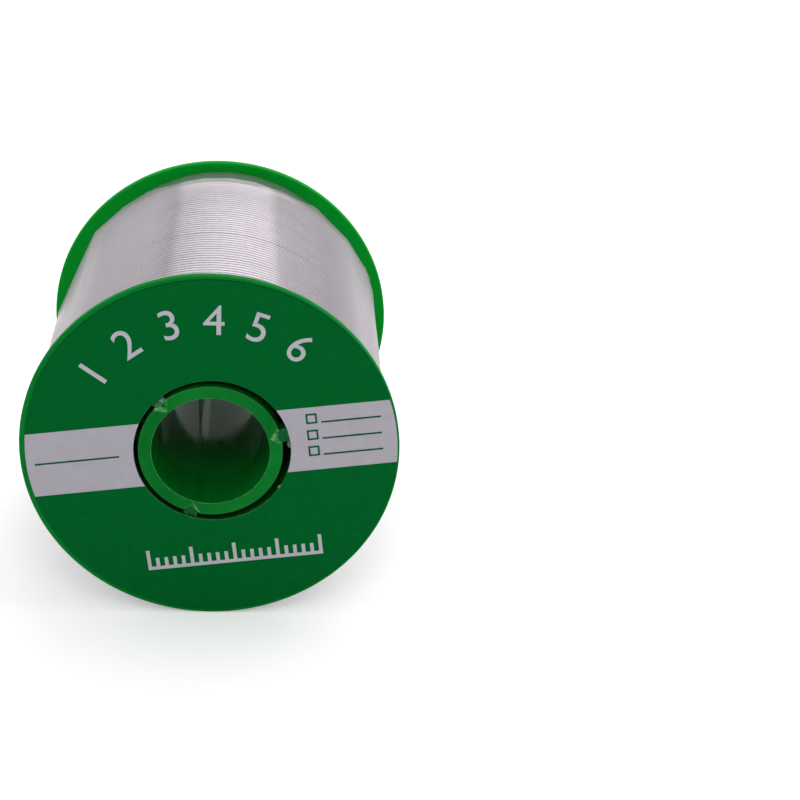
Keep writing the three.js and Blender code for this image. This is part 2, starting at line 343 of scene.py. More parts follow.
def turned(name, outline, angles, materials=(), shift=None):
    """Turns a closed outline of (radius, y) points about the reel's axis. shift(radius, y, angle), where
    given, moves each point out."""
    verts = []
    for angle in angles:
        for radius, y in outline:
            extra = shift(radius, y, angle) if shift else 0
            verts.append(on_reel(radius + extra, y, angle))
    n = len(outline)
    faces = []
    for i in range(len(angles)):
        faces += ring_faces(i * n, (i + 1) % len(angles) * n, n)
    return new_object(name, verts, faces, materials)


def lofted(name, levels, angle, materials=()):
    """A solid through outlines of (out, side) points at given y, turned round the reel's axis by an angle."""
    a = math.radians(angle)
    out = Vector((math.cos(a), 0, math.sin(a)))
    side = Vector((-math.sin(a), 0, math.cos(a)))
    verts = []
    for y, outline in levels:
        for o, s in outline:
            verts.append(out * o + side * s + Vector((0, y, AXIS_HEIGHT)))
    n = len(levels[0][1])
    faces = [tuple(range(n)), tuple(range((len(levels) - 1) * n, len(levels) * n))]
    for i in range(len(levels) - 1):
        faces += ring_faces(i * n, (i + 1) * n, n)
    return new_object(name, verts, faces, materials)


def boolean(obj, tools, operation):
    """Joins or cuts obj with each tool, which is then deleted."""
    for tool in tools:
        step = obj.modifiers.new("step", "BOOLEAN")
        step.operation = operation
        step.solver = "EXACT"
        step.material_mode = "TRANSFER"
        step.object = tool
    graph = bpy.context.evaluated_depsgraph_get()
    mesh = bpy.data.meshes.new_from_object(obj.evaluated_get(graph), depsgraph=graph)
    obj.modifiers.clear()
    obj.data = mesh
    for tool in tools:
        bpy.data.objects.remove(tool)
    smooth(obj, SHARP)
    return obj


def spaced(count, first, make):
    """What make(angle) gives at even steps round the reel from a first angle."""
    return [make(first + 360 * i / count) for i in range(count)]


def place(obj, slot, *nodes):
    """The piece rides on the reel and stands for the nodes named. `slot` is not used."""
    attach(obj, BODY)
    if nodes:
        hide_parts(*nodes)
    return obj


# Material helpers

def linear(value):
    """An sRGB level out of 255 as a linear value."""
    value /= 255
    return value / 12.92 if value <= 0.04045 else ((value + 0.055) / 1.055) ** 2.4


def rgb(r, g, b):
    """An sRGB colour for a colour socket."""
    return (linear(r), linear(g), linear(b), 1)


class Finish:
    """A material with its Principled shader, and short ways to add nodes."""

    def __init__(self, name, **sockets):
        self.material = bpy.data.materials.new(name)
        self.material.use_nodes = True
        self.tree = self.material.node_tree
        self.shader = self.tree.nodes["Principled BSDF"]
        self.output = self.tree.nodes["Material Output"]
        self.set(self.shader, sockets)

    def set(self, node, sockets):
        for name, value in sockets.items():
            node.inputs[name.replace("_", " ")].default_value = value

    def node(self, kind, operation=None, **sockets):
        node = self.tree.nodes.new("ShaderNode" + kind)
        if operation:
            node.operation = operation
        self.set(node, sockets)
        return node

    def link(self, source, target):
        self.tree.links.new(source, target)

    def place_in_reel(self):
        """The point's place, from the object's own coordinates."""
        return self.node("TexCoord").outputs["Object"]

    def math(self, operation, a, b=0):
        """a and b are each a number or another node's output. Some operations take a alone."""
        node = self.node("Math", operation)
        for socket, value in zip(node.inputs, (a, b)):
            if isinstance(value, (int, float)):
                socket.default_value = value
            else:
                self.link(value, socket)
        return node.outputs[0]

    def round_reel(self):
        """The point's angle round the reel's axis in radians, its distance from the axis, and its y."""
        split = self.node("SeparateXYZ")
        self.link(self.place_in_reel(), split.inputs["Vector"])
        x = split.outputs["X"]
        z = self.math("SUBTRACT", split.outputs["Z"], AXIS_HEIGHT)
        far = self.math("SQRT", self.math("ADD", self.math("MULTIPLY", x, x), self.math("MULTIPLY", z, z)))
        return self.math("ARCTAN2", z, x), far, split.outputs["Y"]

    def away_from_axis(self):
        """The direction away from the reel's axis."""
        across = self.node("VectorMath", "MULTIPLY")
        self.link(self.place_in_reel(), across.inputs[0])
        across.inputs[1].default_value = (1, 0, 1)
        lowered = self.node("VectorMath", "SUBTRACT")
        self.link(across.outputs[0], lowered.inputs[0])
        lowered.inputs[1].default_value = (0, 0, AXIS_HEIGHT)
        turned_out = self.node("VectorTransform")
        turned_out.vector_type = "NORMAL"
        turned_out.convert_from, turned_out.convert_to = "OBJECT", "WORLD"
        self.link(lowered.outputs[0], turned_out.inputs[0])
        unit = self.node("VectorMath", "NORMALIZE")
        self.link(turned_out.outputs[0], unit.inputs[0])
        return unit.outputs[0]

    def noise(self, scale, detail, roughness=0.55, vector=None):
        """Noise from 0 to 1 in the object's own coordinates, or in another vector."""
        node = self.node("TexNoise", Scale=scale, Detail=detail, Roughness=roughness)
        self.link(vector or self.place_in_reel(), node.inputs["Vector"])
        return node.outputs["Fac"]

    def mapped(self, value, low, high, to_low, to_high):
        """The value's span from low to high, held at its ends, as a span from to_low to to_high."""
        node = self.node("MapRange", From_Min=low, From_Max=high, To_Min=to_low, To_Max=to_high)
        self.link(value, node.inputs["Value"])
        return node.outputs["Result"]

    def blend(self, factor, a, b):
        """The number a where factor is 0 and b where it is 1."""
        return self.math("ADD", self.math("MULTIPLY", factor, b),
                         self.math("MULTIPLY", self.math("SUBTRACT", 1, factor), a))

    def step(self, value, edge, blur):
        """Rises from 0 to 1 across an edge, or falls where blur is below zero."""
        rise = self.mapped(value, edge - abs(blur), edge + abs(blur), 0, 1)
        return rise if blur > 0 else self.math("SUBTRACT", 1, rise)

    def mixed(self, factor, a, b):
        """The colour a where factor is 0 and b where it is 1."""
        node = self.tree.nodes.new("ShaderNodeMix")
        node.data_type = "RGBA"
        self.link(factor, node.inputs["Factor"])
        for socket, value in ((node.inputs[6], a), (node.inputs[7], b)):
            if isinstance(value, tuple):
                socket.default_value = value
            else:
                self.link(value, socket)
        return node.outputs[2]

    def bump(self, height, distance, after=None):
        """A bump of that height over the surface, or over another bump."""
        node = self.node("Bump", Strength=1.0, Distance=distance)
        self.link(height, node.inputs["Height"])
        if after:
            self.link(after, node.inputs["Normal"])
        return node.outputs["Normal"]


def past_mould_line(finish):
    """How far the point is round the bore past its mould line, in radians, the turn itself, and y."""
    turn, _, y = finish.round_reel()
    line = finish.math("MULTIPLY", y, math.radians(MOULD_LINE_TURN))
    line = finish.math("ADD", line, math.radians(MOULD_LINE_ANGLE - 360))
    return finish.math("SUBTRACT", turn, line), turn, y


def mould_line_mask(finish):
    """1 on the bore's dull mould line, which narrows towards the front, and 0 elsewhere."""
    past, _, y = past_mould_line(finish)
    share = finish.mapped(y, MOULD_LINE_START, MOULD_LINE_FULL, 0, 1)
    off = finish.math("ABSOLUTE", past)
    half = MOULD_LINE_WIDTH / 2 / BORE_RADIUS
    inside = finish.math("SUBTRACT", finish.math("MULTIPLY", share, half), off)
    return finish.mapped(inside, 0, half / 3, 0, 1)


def bore_draft(finish, after):
    """The moulded bore leans in a little towards the rear, and more so past the mould line."""
    past, turn, y = past_mould_line(finish)
    fade = [math.radians(angle - 360) for angle in BORE_LEAN_FADE]
    extra = finish.mapped(past, -BORE_LEAN_BLUR, BORE_LEAN_BLUR, 0, BORE_LEAN_RIGHT - BORE_LEAN)
    more = finish.math("MULTIPLY", extra, finish.mapped(turn, *fade, 1, 0))
    height = finish.math("MULTIPLY", y, finish.math("ADD", more, BORE_LEAN))
    return finish.bump(height, 1.0, after=after)


def green_plastic(name, light, dark, roughness, specular=0.05, skin_depth=0.001 * MM, bore=False,
                  rim_highlight=None):
    """Injection moulded plastic: slow colour drift, faint flow marks and a fine skin. Between two y given for
    the rim, a pale highlight is painted on the flange's rim. `bore` adds the bore's mould line and lean."""
    finish = Finish(name, IOR=1.46, Specular_IOR_Level=specular)
    drift = finish.mapped(finish.noise(90, 3), 0.35, 0.65, 0, 1)
    colour = finish.mixed(drift, rgb(*dark), rgb(*light))
    # Painted highlight: the rim's back edge turns pale in patches towards the winding's end.
    if rim_highlight:
        _, far, y = finish.round_reel()
        painted_highlight = finish.math("POWER", finish.mapped(y, *rim_highlight, 0, 1), RIM_HIGHLIGHT_CURVE)
        on_rim = finish.mapped(far, FLANGE_RADIUS - RIM_FILLET, FLANGE_RADIUS - RIM_FILLET * 0.7, 0, 1)
        painted_highlight = finish.math("MULTIPLY", painted_highlight, on_rim)
        painted_highlight = finish.math("MULTIPLY", painted_highlight, finish.mapped(finish.noise(500, 3), 0.3, 0.6, 0.6, 1))
        colour = finish.mixed(painted_highlight, colour, rgb(*RIM_HIGHLIGHT_COLOUR))
    finish.link(colour, finish.shader.inputs["Base Color"])
    finish.set(finish.shader, {"Subsurface Weight": 0.25, "Subsurface Radius": (0.3, 1.0, 0.35),
                               "Subsurface Scale": 0.0012})
    gloss = finish.mapped(finish.noise(260, 4), 0.3, 0.7, roughness - 0.05, roughness + 0.07)
    if bore:
        dull = finish.math("MULTIPLY", mould_line_mask(finish), MOULD_LINE_ROUGHNESS)
        gloss = finish.math("ADD", gloss, dull)
    finish.link(gloss, finish.shader.inputs["Roughness"])
    skin = finish.bump(finish.noise(2600, 2), skin_depth)
    flow = finish.bump(finish.noise(150, 1), skin_depth * 20, after=skin)
    if bore:
        flow = bore_draft(finish, flow)
    finish.link(flow, finish.shader.inputs["Normal"])
    return finish.material


def stressed_plastic(name, pale, plain, low, high):
    """Plastic with small pale smears over a plain colour. On the hub's fillets the smears are a painted
    highlight.
    """
    finish = Finish(name, IOR=1.46, Specular_IOR_Level=0.06, Roughness=0.42)
    smears = finish.mapped(finish.noise(950, 3, 0.6), low, high, 0, 1)
    finish.link(finish.mixed(smears, rgb(*plain), rgb(*pale)), finish.shader.inputs["Base Color"])
    finish.link(finish.bump(finish.noise(1800, 3), 0.02 * MM), finish.shader.inputs["Normal"])
    return finish.material


def paper(name, light, dark, roughness, specular):
    """Satin printed paper: mottled ink over fibres."""
    finish = Finish(name, IOR=1.45, Specular_IOR_Level=specular)
    mottle = finish.mapped(finish.noise(700, 5, 0.65), 0.35, 0.65, 0, 1)
    finish.link(finish.mixed(mottle, rgb(*dark), rgb(*light)), finish.shader.inputs["Base Color"])
    gloss = finish.mapped(finish.noise(900, 3), 0.3, 0.7, roughness - 0.06, roughness + 0.06)
    finish.link(gloss, finish.shader.inputs["Roughness"])
    fibres = finish.bump(finish.noise(3200, 4, 0.6), 0.006 * MM)
    finish.link(fibres, finish.shader.inputs["Normal"])
    return finish.material


def solder_metal():
    """Drawn tin alloy: fine lines along the wire, a slow change of tone, and painted shade darkening the
    grooves between the turns."""
    finish = Finish("solder_wire", Metallic=1.0)
    turn, far, y = finish.round_reel()
    along = finish.node("CombineXYZ")
    finish.link(finish.math("MULTIPLY", turn, 0.0006), along.inputs["X"])
    finish.link(y, along.inputs["Y"])
    finish.link(far, along.inputs["Z"])
    lines = finish.noise(9000, 2, 0.5, along.outputs[0])
    tone = finish.mapped(finish.noise(420, 3), 0.3, 0.7, 0, 1)
    bright = finish.mixed(tone, rgb(216, 209, 215), rgb(226, 219, 225))
    # Painted shade: the wire darkens towards the grooves between the turns.
    unshaded = finish.mapped(far, GROOVE_RADIUS, BRIGHT_RADIUS, 0, 1)
    finish.link(finish.mixed(unshaded, rgb(86, 79, 85), bright), finish.shader.inputs["Base Color"])
    gloss = finish.mapped(lines, 0.3, 0.7, 0.28, 0.33)
    finish.link(gloss, finish.shader.inputs["Roughness"])
    finish.link(finish.bump(lines, 0.0003 * MM), finish.shader.inputs["Normal"])
    return finish.material


def film_windows(finish, angle, y):
    """Where the film is one layer thick: the crown, and the strip at the rear end. Each is 1 there."""
    edge = finish.math("SUBTRACT", angle, finish.math("MULTIPLY", y, WINDOW_RIGHT_TURN))
    crown = finish.math("MULTIPLY", finish.step(edge, WINDOW_RIGHT, WINDOW_BLUR),
                        finish.step(angle, WINDOW_LEFT, -WINDOW_BLUR))
    off = finish.math("MULTIPLY", finish.math("SUBTRACT", angle, STRIP_ANGLE), 1 / STRIP_REACH)
    rise = finish.math("POWER", finish.math("ABSOLUTE", off), 4)
    start = finish.math("ADD", finish.math("MULTIPLY", rise, STRIP_END - STRIP_START), STRIP_START)
    strip = finish.mapped(finish.math("SUBTRACT", y, start), 0, STRIP_BLUR, 0, 1)
    return crown, strip


def film_colour(finish, angle, y, crown, strip, rear_light, window_rear_light, cut_edge):
    """The haze's colour, which depends on the place on the film alone; much of it is painted light and shade.
    """
    drift = finish.mapped(finish.noise(60, 3), 0.3, 0.7, 0, 1)
    colour = finish.mixed(drift, *(rgb(*tone) for tone in FOLDED_COLOURS))
    # Painted light on the left, and painted shade on the sides away from the crown.
    colour = finish.mixed(finish.mapped(angle, *LEFT_SIDE, 0, 1), colour, rgb(*LEFT_LIGHT_COLOUR))
    aside = finish.math("ABSOLUTE", finish.math("SUBTRACT", angle, 90))
    colour = finish.mixed(finish.mapped(aside, *FROM_CROWN, 0, 1), colour, rgb(*SIDE_SHADE_COLOUR))
    # Painted light: one even tone towards the rear against the rear flange's shade, and paler at the rear
    # left.
    colour = finish.mixed(rear_light, colour, rgb(*REAR_LIGHT_COLOUR))
    left_rear_light = finish.math("MULTIPLY", finish.mapped(angle, *LEFT_REAR_LIGHT, 0, 1),
                        finish.mapped(y, *LEFT_REAR_LIGHT_Y, 0, 1))
    colour = finish.mixed(left_rear_light, colour, rgb(*REAR_LIGHT_COLOUR))
    # Painted light: the window's haze turns paler towards the rear.
    window = finish.mixed(window_rear_light, *(rgb(*tone) for tone in WINDOW_COLOURS))
    colour = finish.mixed(crown, colour, window)
    colour = finish.mixed(strip, colour, rgb(*STRIP_COLOUR))
    return finish.mixed(cut_edge, colour, rgb(*CUT_EDGE_COLOUR))


def outside_haze(finish, mirror, crown, strip, rear_light, window_rear_light, cut_edge):
    """The share of haze outside: more where folded, less in the windows, and more to the rear as painted
    light.
    """
    layered = finish.math("ADD", finish.mapped(mirror, *LAYERED_HAZE),
                          finish.math("MULTIPLY", rear_light, REAR_LIGHT_HAZE))
    rear = finish.math("MULTIPLY", finish.math("MULTIPLY", window_rear_light, WINDOW_REAR_LIGHT_HAZE),
                       finish.math("SUBTRACT", 1, strip))
    single = finish.math("ADD", finish.mapped(mirror, *SINGLE_HAZE), rear)
    share = finish.blend(finish.math("MAXIMUM", crown, strip), layered, single)
    return finish.math("MAXIMUM", share, finish.math("MULTIPLY", cut_edge, CUT_EDGE_HAZE))


def clear_film(name, outside):
    """Clear film with a little haze, which thickens at a grazing angle. It is one layer thick in a window at
    the crown and several layers elsewhere, has painted light towards the rear end, and has a pale cut edge at
    both ends. Nearly all the haze is on the outside face."""
    finish = Finish(name, Roughness=0.25, IOR=1.5, Specular_IOR_Level=0.03)
    facing = finish.away_from_axis() if outside else None
    finish.link(finish.bump(finish.noise(150, 2), 0.02 * MM, after=facing), finish.shader.inputs["Normal"])
    fresnel = finish.node("Fresnel", IOR=1.5)
    if outside:
        finish.link(facing, fresnel.inputs["Normal"])
    mirror = fresnel.outputs[0]
    turn, _, y = finish.round_reel()
    angle = finish.math("MULTIPLY", turn, math.degrees(1))
    crown, strip = film_windows(finish, angle, y)
    # Painted light towards the rear, on the folded film and in the window.
    rear_light = finish.mapped(y, *REAR_LIGHT_SPAN, 0, 1)
    window_rear_light = finish.mapped(y, *WINDOW_REAR_LIGHT_SPAN, 0, 1)
    from_end = finish.math("SUBTRACT", FILM_END, finish.math("ABSOLUTE", y))
    at_edge = finish.mapped(from_end, FILM_EDGE_WIDTH / 2, FILM_EDGE_WIDTH, 1, 0)
    cut_edge = finish.math("MULTIPLY", at_edge, finish.math("SUBTRACT", 1, strip))
    colour = film_colour(finish, angle, y, crown, strip, rear_light, window_rear_light, cut_edge)
    finish.link(colour, finish.shader.inputs["Base Color"])
    if outside:
        share = outside_haze(finish, mirror, crown, strip, rear_light, window_rear_light, cut_edge)
    else:
        share = finish.mapped(mirror, *INSIDE_HAZE)
    clear = finish.node("BsdfTransparent")
    mix = finish.node("MixShader")
    finish.link(share, mix.inputs["Fac"])
    finish.link(clear.outputs[0], mix.inputs[1])
    finish.link(finish.shader.outputs[0], mix.inputs[2])
    finish.link(mix.outputs[0], finish.output.inputs["Surface"])
    return finish.material


# A lighter copy of the green plastic for the rear flange, drum and webs: painted light on the rear flange's
# face.
LIT_GREEN = green_plastic("green_plastic", (4, 158, 45), (2, 152, 39), 0.34, 0.03)
# A darker copy of the same plastic for the front flange: painted shade.
SHADED_FRONT_GREEN = green_plastic("green_plastic_front_shaded", (6, 130, 49), (4, 124, 44), 0.42, 0.03,
                          rim_highlight=(-HALF_WIDTH - RIM_HIGHLIGHT_FROM, -HALF_WIDTH - RIM_HIGHLIGHT_TO))
SHADED_GREEN = green_plastic("green_plastic_hub", (10, 130, 45), (1, 114, 37), 0.36)
# A darker copy for the wall of the front flange's hole: painted shade in the gap round the hub.
SHADED_HOLE_GREEN = green_plastic("green_plastic_inside_shaded", (4, 108, 36), (3, 100, 31), 0.4)
# A darker, glossier copy for the bore and the hub's outer wall: painted shade.
SHADED_BORE_GREEN = green_plastic("green_plastic_bore_shaded", (4, 112, 34), (3, 104, 29), 0.09, 0.105, 0.0002 * MM,
                           bore=True)
# A darker, duller copy of the plastic for the recessed lug faces, painted shade, with pale smears.
SHADED_LUG_GREEN = stressed_plastic("green_plastic_lug_shaded", (118, 150, 128), (14, 100, 50), 0.53, 0.68)
# Pale smears on the notch flanks.
PALE_FLANK_GREEN = stressed_plastic("green_plastic_pale_flank", (122, 190, 126), (14, 136, 52), 0.4, 0.66)
# Painted highlight: pale smears along the hub tube's fillets.
HUB_EDGE_HIGHLIGHT = stressed_plastic("green_plastic_edge_highlight", (92, 166, 108), (14, 126, 50), 0.3, 0.8)
LABEL_GREEN = paper("label_green_ink", (0, 104, 44), (0, 99, 40), 0.55, 0.02)
LABEL_BAND = paper("label_band", (188, 184, 194), (182, 178, 188), 0.55, 0.1)
FRAYED = paper("label_frayed_paper", (140, 150, 140), (72, 82, 76), 0.7, 0.02)
# The label's outer edge, darker than its print: painted shade along the edge.
SHADED_LABEL_RIM = paper("label_outer_edge_shaded", (4, 66, 34), (2, 58, 28), 0.7, 0.02)
LABEL_EDGE = paper("label_cut_edge", (88, 142, 104), (44, 108, 68), 0.7, 0.02)
INK_WHITE = paper("label_white_ink", (198, 196, 204), (192, 190, 198), 0.5, 0.1)
INK_GREEN = paper("label_dark_ink", (16, 92, 54), (10, 84, 48), 0.5, 0.05)
SOLDER = solder_metal()
FILM_OUTER = clear_film("clear_film", True)
FILM_INNER = clear_film("clear_film_inside", False)


# Reel body: rear flange and drum, hub tube, webs and notches

def mould_line(radius, y, angle):
    """A shallow V groove along the bore, which runs out towards the front."""
    if radius > BORE_RADIUS + HUB_FILLET / 2:
        return 0
    share = min(max((y - MOULD_LINE_START) / (MOULD_LINE_FULL - MOULD_LINE_START), 0), 1)
    line = MOULD_LINE_ANGLE + MOULD_LINE_TURN * y
    off = abs(math.radians((angle - line + 180) % 360 - 180)) * BORE_RADIUS
    return MOULD_LINE_DEPTH * max(share - off / (MOULD_LINE_WIDTH / 2), 0)


def make_reel_body():
    body = turned("reel_body_moulding", rounded([
        (REAR_HOLE_RADIUS, HALF_LENGTH, EDGE_FILLET),
        (REAR_HOLE_RADIUS, HALF_WIDTH, EDGE_FILLET),
        (DRUM_BORE_RADIUS, HALF_WIDTH, 0),
        (DRUM_BORE_RADIUS, -HALF_WIDTH + DRUM_END_GAP, EDGE_FILLET),
        (DRUM_RADIUS, -HALF_WIDTH + DRUM_END_GAP, EDGE_FILLET),
        (DRUM_RADIUS, HALF_WIDTH, 0),
        (FLANGE_RADIUS, HALF_WIDTH, RIM_FILLET),
        (FLANGE_RADIUS, HALF_LENGTH, RIM_FILLET),
    ]), even_angles(FLANGE_STEPS), (LIT_GREEN,))
    tube = make_hub_tube()
    root = (BORE_RADIUS + HUB_REAR_RADIUS) / 2
    tip = (DRUM_BORE_RADIUS + DRUM_RADIUS) / 2
    half = WEB_WIDTH / 2
    outline = [(root, -half), (tip, -half), (tip, half), (root, half)]
    web_levels = [(SPIGOT_END + WEB_END_GAP, outline), (HALF_LENGTH - WEB_RECESS, outline)]
    webs = spaced(WEB_COUNT, WEB_ANGLE, lambda a: lofted("web", web_levels, a, (LIT_GREEN,)))
    boolean(body, [tube] + webs, "UNION")
    notches = spaced(WEB_COUNT, LUG_ANGLE, make_notch)
    boolean(body, notches, "DIFFERENCE")
    return place(body, "green_plastic", "reel_body")


def make_hub_tube():
    """The hub's tube, with a finer mesh round the bore's mould line."""
    fine = [MOULD_LINE_ANGLE + FINE_STEP * i for i in range(-FINE_STEPS_EACH_WAY, FINE_STEPS_EACH_WAY + 1)]
    coarse = [a for a in even_angles(TUBE_STEPS) if abs(a - MOULD_LINE_ANGLE) > FINE_REACH]
    run = MOULD_LINE_START - MOULD_LINE_FULL
    bore_rings = [(BORE_RADIUS, MOULD_LINE_FULL + run * i / MOULD_LINE_RINGS, 0)
                  for i in range(MOULD_LINE_RINGS + 1)]
    tube = turned("tube", rounded([
        (BORE_RADIUS, HALF_LENGTH, HUB_FILLET), *bore_rings,
        (BORE_RADIUS, -HALF_LENGTH, HUB_FILLET),
        (HUB_FRONT_RADIUS, -HALF_LENGTH, EDGE_FILLET),
        (HUB_REAR_RADIUS, HALF_LENGTH, EDGE_FILLET),
    ]), sorted(set(coarse + fine)), (SHADED_GREEN, SHADED_BORE_GREEN, HUB_EDGE_HIGHLIGHT), mould_line)
    # The hub's walls take the darker copy, painted shade; its fillets take a painted highlight.
    wall, fillet = 1, 2
    for polygon in tube.data.polygons:
        along = abs(polygon.normal.y)
        if along < NOT_AN_END:
            polygon.material_index = wall if along < WALL_FACE else fillet
    return tube


def wedge(grow, root):
    """The lug's outline: square-sided from the root in to the hub's outside, then running to a point."""
    half = LUG_WIDTH / 2
    tip = LUG_TIP_RADIUS - grow * LUG_TIP_GROWTH
    return [(tip, 0), (HUB_FRONT_RADIUS, half + grow), (root, half + grow), (root, -half - grow),
            (HUB_FRONT_RADIUS, -half - grow)]


def make_notch(angle):
    """Sloping flanks down to the lug's face, then straight sides."""
    root = (HUB_FRONT_RADIUS + FRONT_HOLE_RADIUS) / 2
    face = -HALF_LENGTH + LUG_RECESS
    slope = NOTCH_FLANK / LUG_RECESS
    return lofted("notch", [
        (-HALF_LENGTH - NOTCH_OVERSHOOT, wedge(NOTCH_FLANK + slope * NOTCH_OVERSHOOT, root)),
        (face, wedge(NOTCH_CLEARANCE, root)),
        (face + LUG_DEPTH + NOTCH_EXTRA_DEPTH, wedge(NOTCH_CLEARANCE, root)),
    ], angle, (PALE_FLANK_GREEN,))


# Front flange: disc, spigot and lugs

def make_front_flange():
    disc = turned("front_flange_moulding", rounded([
        (FRONT_HOLE_RADIUS, SPIGOT_END, EDGE_FILLET),
        (FRONT_HOLE_RADIUS, -HALF_LENGTH, EDGE_FILLET),
        (FLANGE_RADIUS, -HALF_LENGTH, RIM_FILLET),
        (FLANGE_RADIUS, -HALF_WIDTH, RIM_FILLET),
        (SPIGOT_RADIUS, -HALF_WIDTH, 0),
        (SPIGOT_RADIUS, SPIGOT_END, EDGE_FILLET),
    ]), even_angles(FLANGE_STEPS), (SHADED_FRONT_GREEN, SHADED_HOLE_GREEN))
    # The hole's wall takes the darker copy: painted shade.
    hole_wall = 1
    for polygon in disc.data.polygons:
        across = Vector((polygon.center.x, 0, polygon.center.z - AXIS_HEIGHT))
        if across.length < FRONT_HOLE_RADIUS + EDGE_FILLET / 2 and abs(polygon.normal.y) < HOLE_WALL_FACE:
            polygon.material_index = hole_wall
    root = (FRONT_HOLE_RADIUS + SPIGOT_RADIUS) / 2
    face = -HALF_LENGTH + LUG_RECESS
    lugs = spaced(WEB_COUNT, LUG_ANGLE, lambda a: lofted("lug", [
        (face, wedge(-LUG_CHAMFER, root)),
        (face + LUG_CHAMFER, wedge(0, root)),
        (face + LUG_DEPTH, wedge(0, root)),
    ], a, (SHADED_LUG_GREEN,)))
    boolean(disc, lugs, "UNION")
    return place(disc, "green_plastic", "front_flange")


# Labels

def make_label(name, node, face, out, shift):
    """A thin paper ring with the pale band printed across it. `out` is the way that it faces along Y."""
    back = face - out * (LABEL_THICKNESS - PRINT_THICKNESS)
    obj = turned(name, [
        (LABEL_HOLE_RADIUS, back),
        (LABEL_HOLE_RADIUS, face - out * LABEL_BEVEL),
        (LABEL_HOLE_RADIUS + LABEL_BEVEL, face),
        (LABEL_RADIUS - LABEL_BEVEL, face),
        (LABEL_RADIUS, face - out * LABEL_BEVEL),
        (LABEL_RADIUS, back),
    ], even_angles(LABEL_STEPS), (LABEL_GREEN, LABEL_BAND, LABEL_EDGE, SHADED_LABEL_RIM))
    band, inner_edge, outer_edge = 1, 2, 3
    bm = bmesh.new()
    bm.from_mesh(obj.data)
    across = math.radians(BAND_ANGLE if out < 0 else -BAND_ANGLE)
    normal = Vector((-math.sin(across), 0, math.cos(across)))
    middle = Vector((0, 0, AXIS_HEIGHT)) + normal * BAND_OFFSET
    for side in (-1, 1):
        bmesh.ops.bisect_plane(bm, geom=bm.faces[:] + bm.edges[:] + bm.verts[:],
                               plane_co=middle + normal * side * BAND_WIDTH / 2, plane_no=normal)
    bm.normal_update()
    for f in bm.faces:
        centre = f.calc_center_median()
        if f.normal.y * out < LABEL_EDGE_FACE:
            outer = math.hypot(centre.x, centre.z - AXIS_HEIGHT) > (LABEL_HOLE_RADIUS + LABEL_RADIUS) / 2
            f.material_index = outer_edge if outer else inner_edge
        elif abs((centre - middle).dot(normal)) < BAND_WIDTH / 2:
            f.material_index = band
    bm.to_mesh(obj.data)
    bm.free()
    smooth(obj, LABEL_SHARP)
    obj.data.transform(Matrix.Translation((shift[0], 0, shift[1])))
    return place(obj, "label_paper", node)


def make_flaps(name, face):
    """Frayed scraps of paper at the edge of the front label's hole and in the gap behind it."""
    verts, faces = [], []
    for angle, width, root, tip, depth in FLAPS:
        reach = root - tip
        outline = [(root, -width / 2), (tip + reach * 0.25, -width * 0.35), (tip, width * 0.05),
                   (tip + reach * 0.15, width * 0.35), (tip + reach * 0.6, width / 2), (root, width / 2)]
        a = math.radians(angle)
        first, n = len(verts), len(outline)
        for y in (face + depth, face + depth + FLAP_THICKNESS):
            for out, side in outline:
                verts.append((out * math.cos(a) - side * math.sin(a), y,
                              AXIS_HEIGHT + out * math.sin(a) + side * math.cos(a)))
        faces += [tuple(first + k for k in range(n)), tuple(first + n + k for k in range(n))]
        faces += ring_faces(first, first + n, n)
    flaps = new_object(name, verts, faces, (FRAYED,))
    flaps.data.transform(Matrix.Translation((LABEL_SHIFT[0], 0, LABEL_SHIFT[1])))
    return place(flaps, "label_paper")


